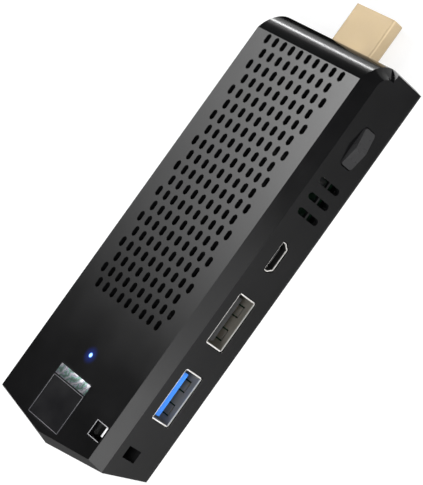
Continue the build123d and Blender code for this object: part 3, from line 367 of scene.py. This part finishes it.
def make_finishes():
    """Every finish that the CAD nodes take, by its name."""
    finishes = {name: finish(name, *row) for name, row in FINISH_ROWS.items()}
    finishes["board_green"] = board_finish()
    for name in SOCKET_PAINTED_SHADES:
        finishes[name] = socket_shaded_finish(name)
    for name, glow in STATUS_GLOWS.items():
        add_status_glow(finishes[name], *glow)
    led = finishes["led_white"]
    led_glow = {"Emission Color": (*LED_COLOUR, 1), "Emission Strength": LED_STRENGTH}
    feed(led.node_tree, shader_of(led), led_glow)
    return finishes


def soften_edges(node, width):
    """Joins a node's faces along their seams and rounds its crisp edges."""
    seams = node.modifiers.new("seams", "WELD")
    seams.merge_threshold = SEAM_GAP
    rounded = node.modifiers.new("rounded", "BEVEL")
    rounded.width = width
    rounded.segments = ROUND_SEGMENTS
    rounded.limit_method = "ANGLE"
    rounded.angle_limit = ROUND_ANGLE
    creases = node.modifiers.new("creases", "EDGE_SPLIT")
    creases.split_angle = SMOOTH_ANGLE


def dress_nodes():
    """Gives every CAD node its finish and smooths its rounded faces, and softens the moulded edges of
    those in SOFT_EDGES.
    """
    finishes = make_finishes()
    for part in frame["record"]["subparts"]:
        node = nodes[part["node"]]
        node.data.materials.clear()
        node.data.materials.append(finishes[NODE_FINISHES.get(part["node"], part["material_slot"])])
        node.data.shade_smooth()
        node.data.set_sharp_from_angle(angle=SMOOTH_ANGLE)
        if part["node"] in SOFT_EDGES:
            soften_edges(node, SOFT_EDGES[part["node"]])


def slab(name, low, high, material, edge):
    """A thin plate between two corners with softened edges, on the housing."""
    shape = bmesh.new()
    bmesh.ops.create_cube(shape, size=1.0)
    size = high - low
    middle = (high + low) / 2
    for vertex in shape.verts:
        vertex.co = Vector(a * b for a, b in zip(vertex.co, size)) + middle
    bmesh.ops.bevel(
        shape,
        geom=shape.edges[:],
        offset=edge,
        segments=ROUND_SEGMENTS,
        profile=ROUND_PROFILE,
        affect="EDGES",
    )
    mesh = bpy.data.meshes.new(name)
    shape.to_mesh(mesh)
    shape.free()
    piece = bpy.data.objects.new(name, mesh)
    bpy.context.scene.collection.objects.link(piece)
    mesh.materials.append(material)
    mesh.shade_smooth()
    mesh.set_sharp_from_angle(angle=ROUND_ANGLE)
    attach(piece, "housing")
    return piece


def add_label_trim():
    """A silver strip across one end of the label, and a thin bright line round it."""
    low, high = (Vector(corner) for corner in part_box("front_label"))
    top = high.z
    strip_low = Vector((high.x - LABEL_STRIP, low.y + LABEL_MARGIN, top))
    strip_high = Vector((high.x - LABEL_MARGIN, high.y - LABEL_MARGIN, top + LABEL_RISE))
    strip = slab("label_strip", strip_low, strip_high, foil_finish(), LABEL_ROUND)
    line = trim_finish("label_line")
    x0, x1 = low.x + LABEL_MARGIN, high.x - LABEL_STRIP - LABEL_MARGIN
    y0, y1 = low.y + LABEL_MARGIN, high.y - LABEL_MARGIN
    sides = (
        ("far", (x0, y0), (x0 + LABEL_EDGE, y1)),
        ("near", (x1 - LABEL_EDGE, y0), (x1, y1)),
        ("left", (x0, y1 - LABEL_EDGE), (x1, y1)),
        ("right", (x0, y0), (x1, y0 + LABEL_EDGE)),
    )
    for side, start, end in sides:
        bar_low, bar_high = Vector((*start, top)), Vector((*end, top + LABEL_RISE))
        bar = slab(f"label_line_{side}", bar_low, bar_high, line, LABEL_ROUND)


def add_lanyard_highlights():
    """Painted highlights: a thin bright rim round the lanyard's opening, and a pale lip inside it for
    its lit inner wall.
    """
    eyelet = next(mount for mount in frame["record"]["mounts"] if mount["name"] == "lanyard_eyelet")
    middle_x, middle_y, top = eyelet["pos_m"]
    rim = trim_finish("lanyard_rim_highlight")
    pale_highlight = trim_finish("lanyard_lip")
    x0, x1 = middle_x - LANYARD_LENGTH / 2, middle_x + LANYARD_LENGTH / 2
    y0, y1 = middle_y - LANYARD_WIDTH / 2, middle_y + LANYARD_WIDTH / 2
    edge = LANYARD_EDGE
    lip_start, lip_end = (middle_x - LANYARD_LIP, y0 - edge / 2), (x1, y0 + LANYARD_LIP)
    bars = (
        ("rim_far", (x0 - edge, y0), (x0, y1 + edge), 0.0, rim),
        ("rim_near", (x1, y0), (x1 + edge, y1 + edge), 0.0, rim),
        ("rim_left", (x0, y1), (x1, y1 + edge), 0.0, rim),
        ("lip", lip_start, lip_end, LANYARD_LIP_DEPTH, pale_highlight),
    )
    for name, start, end, depth, material in bars:
        low, high = Vector((*start, top - depth)), Vector((*end, top + LANYARD_RISE))
        bar = slab(f"lanyard_{name}", low, high, material, LANYARD_ROUND)


def add_stage_mesh(name, corners, faces, material):
    """A piece of the studio, which isn't part of the object."""
    mesh = bpy.data.meshes.new(name)
    mesh.from_pydata(corners, [], faces)
    mesh.materials.append(material)
    piece = bpy.data.objects.new(name, mesh)
    bpy.context.scene.collection.objects.link(piece)
    return piece


def add_floor():
    """A white floor with a low backdrop round it, shown at its own level wherever it is seen."""
    material, tree, shader = new_material("floor", {"Base Color": FLOOR_COLOUR, **MATTE})
    rays = add_node(tree, "ShaderNodeLightPath").outputs
    seen = rays["Is Camera Ray"]
    for kind in ("Is Glossy Ray", "Is Transmission Ray"):
        seen = calculate(tree, "MAXIMUM", seen, rays[kind])
    glow = calculate(tree, "MULTIPLY", seen, FLOOR_GLOW)
    feed(tree, shader, {"Emission Color": WHITE, "Emission Strength": glow})
    corners = []
    for height in (-FLOOR_DROP, BACKDROP_HEIGHT):
        for side in range(FLOOR_SIDES):
            turn = radians(360 * side / FLOOR_SIDES)
            corners.append((FLOOR_RADIUS * cos(turn), FLOOR_RADIUS * sin(turn), height))
    faces = [tuple(range(FLOOR_SIDES))]
    for side in range(FLOOR_SIDES):
        after = (side + 1) % FLOOR_SIDES
        faces.append((side, after, after + FLOOR_SIDES, side + FLOOR_SIDES))
    add_stage_mesh("floor", corners, faces, material)


def add_flags():
    """The cards on the floor that only reflections show."""
    for name, near, far, greys in FLAGS:
        material, tree, shader = new_material(f"flag_{name}", MATTE)
        along = place_by_axis(tree, "Generated")["X"]
        feed(tree, shader, {"Base Color": carry_over(tree, along, WHOLE, greys)})
        outline = (near, (far[0], near[1]), far, (near[0], far[1]))
        corners = [(x, y, FLAG_HEIGHT) for x, y in outline]
        flag = add_stage_mesh(f"flag_{name}", corners, [(0, 1, 2, 3)], material)
        flag.visible_camera = False
        flag.visible_shadow = False
        flag.visible_diffuse = False


def add_card():
    """A panel behind the object, brighter upwards and towards the plug, for the sheen along the top."""
    lit_only = {"Base Color": BLACK, "Specular IOR Level": 0.0, "Emission Color": WHITE}
    material, tree, shader = new_material("card", lit_only)
    axes = place_by_axis(tree, "Generated")
    rise = calculate(tree, "POWER", axes["X"], CARD_RISE)
    level = carry_over(tree, axes["Z"], CARD_FADE, CARD_LEVELS)
    feed(tree, shader, {"Emission Strength": calculate(tree, "MULTIPLY", rise, level)})
    elevation = radians(CARD_ELEVATION)
    up = Vector((0, -sin(elevation), cos(elevation))) * CARD_HALF_HEIGHT
    ends = []
    for turn in CARD_TURNS:
        azimuth = radians(turn)
        across = Vector((sin(azimuth), cos(azimuth), 0)) * cos(elevation)
        ends.append((across + Vector((0, 0, sin(elevation)))) * CARD_DISTANCE)
    corners = [ends[0] - up, ends[1] - up, ends[1] + up, ends[0] + up]
    card = add_stage_mesh("card", corners, [(0, 1, 2, 3)], material)
    card.visible_camera = False
    card.visible_shadow = False


def add_world():
    """A low even level all round."""
    world = bpy.data.worlds.new("studio")
    bpy.context.scene.world = world
    world.use_nodes = True
    background = world.node_tree.nodes["Background"]
    feed(world.node_tree, background, {"Color": WHITE, "Strength": WORLD_LEVEL})


def add_lamps():
    """Soft rectangular lamps aimed at the object."""
    for name, spot, size, power in LAMPS:
        lamp = bpy.data.lights.new(name, "AREA")
        lamp.shape = "RECTANGLE"
        lamp.size, lamp.size_y = size
        lamp.energy = power
        holder = bpy.data.objects.new(name, lamp)
        bpy.context.scene.collection.objects.link(holder)
        holder.location = spot
        aim = VIEW_TARGET - Vector(spot)
        holder.rotation_euler = aim.to_track_quat("-Z", "Y").to_euler()


def add_camera():
    """The camera looks at the target from the photograph's angle, rolled about its axis."""
    azimuth, elevation, roll = radians(VIEW_AZIMUTH), radians(VIEW_ELEVATION), radians(VIEW_ROLL)
    forward = Vector((sin(azimuth) * cos(elevation), cos(azimuth) * cos(elevation), -sin(elevation)))
    level = forward.cross(Vector((0, 0, 1))).normalized()
    lift = level.cross(forward)
    right = cos(roll) * level + sin(roll) * lift
    up = cos(roll) * lift - sin(roll) * level
    data = bpy.data.cameras.new("camera")
    data.sensor_fit = "VERTICAL"
    data.sensor_height = SENSOR_HEIGHT
    data.lens = FOCAL_PIXELS * SENSOR_HEIGHT / IMAGE_HEIGHT
    data.clip_start = NEAREST_SEEN
    camera = bpy.data.objects.new("camera", data)
    bpy.context.scene.collection.objects.link(camera)
    spot = VIEW_TARGET - forward * VIEW_DISTANCE
    turn = Matrix((right, up, -forward)).transposed().to_4x4()
    camera.matrix_world = Matrix.Translation(spot) @ turn
    bpy.context.scene.camera = camera


dress_nodes()
add_label_trim()
add_lanyard_highlights()
add_floor()
add_world()
add_lamps()
add_card()
add_flags()
add_camera()
bpy.context.scene.view_settings.view_transform = "Standard"
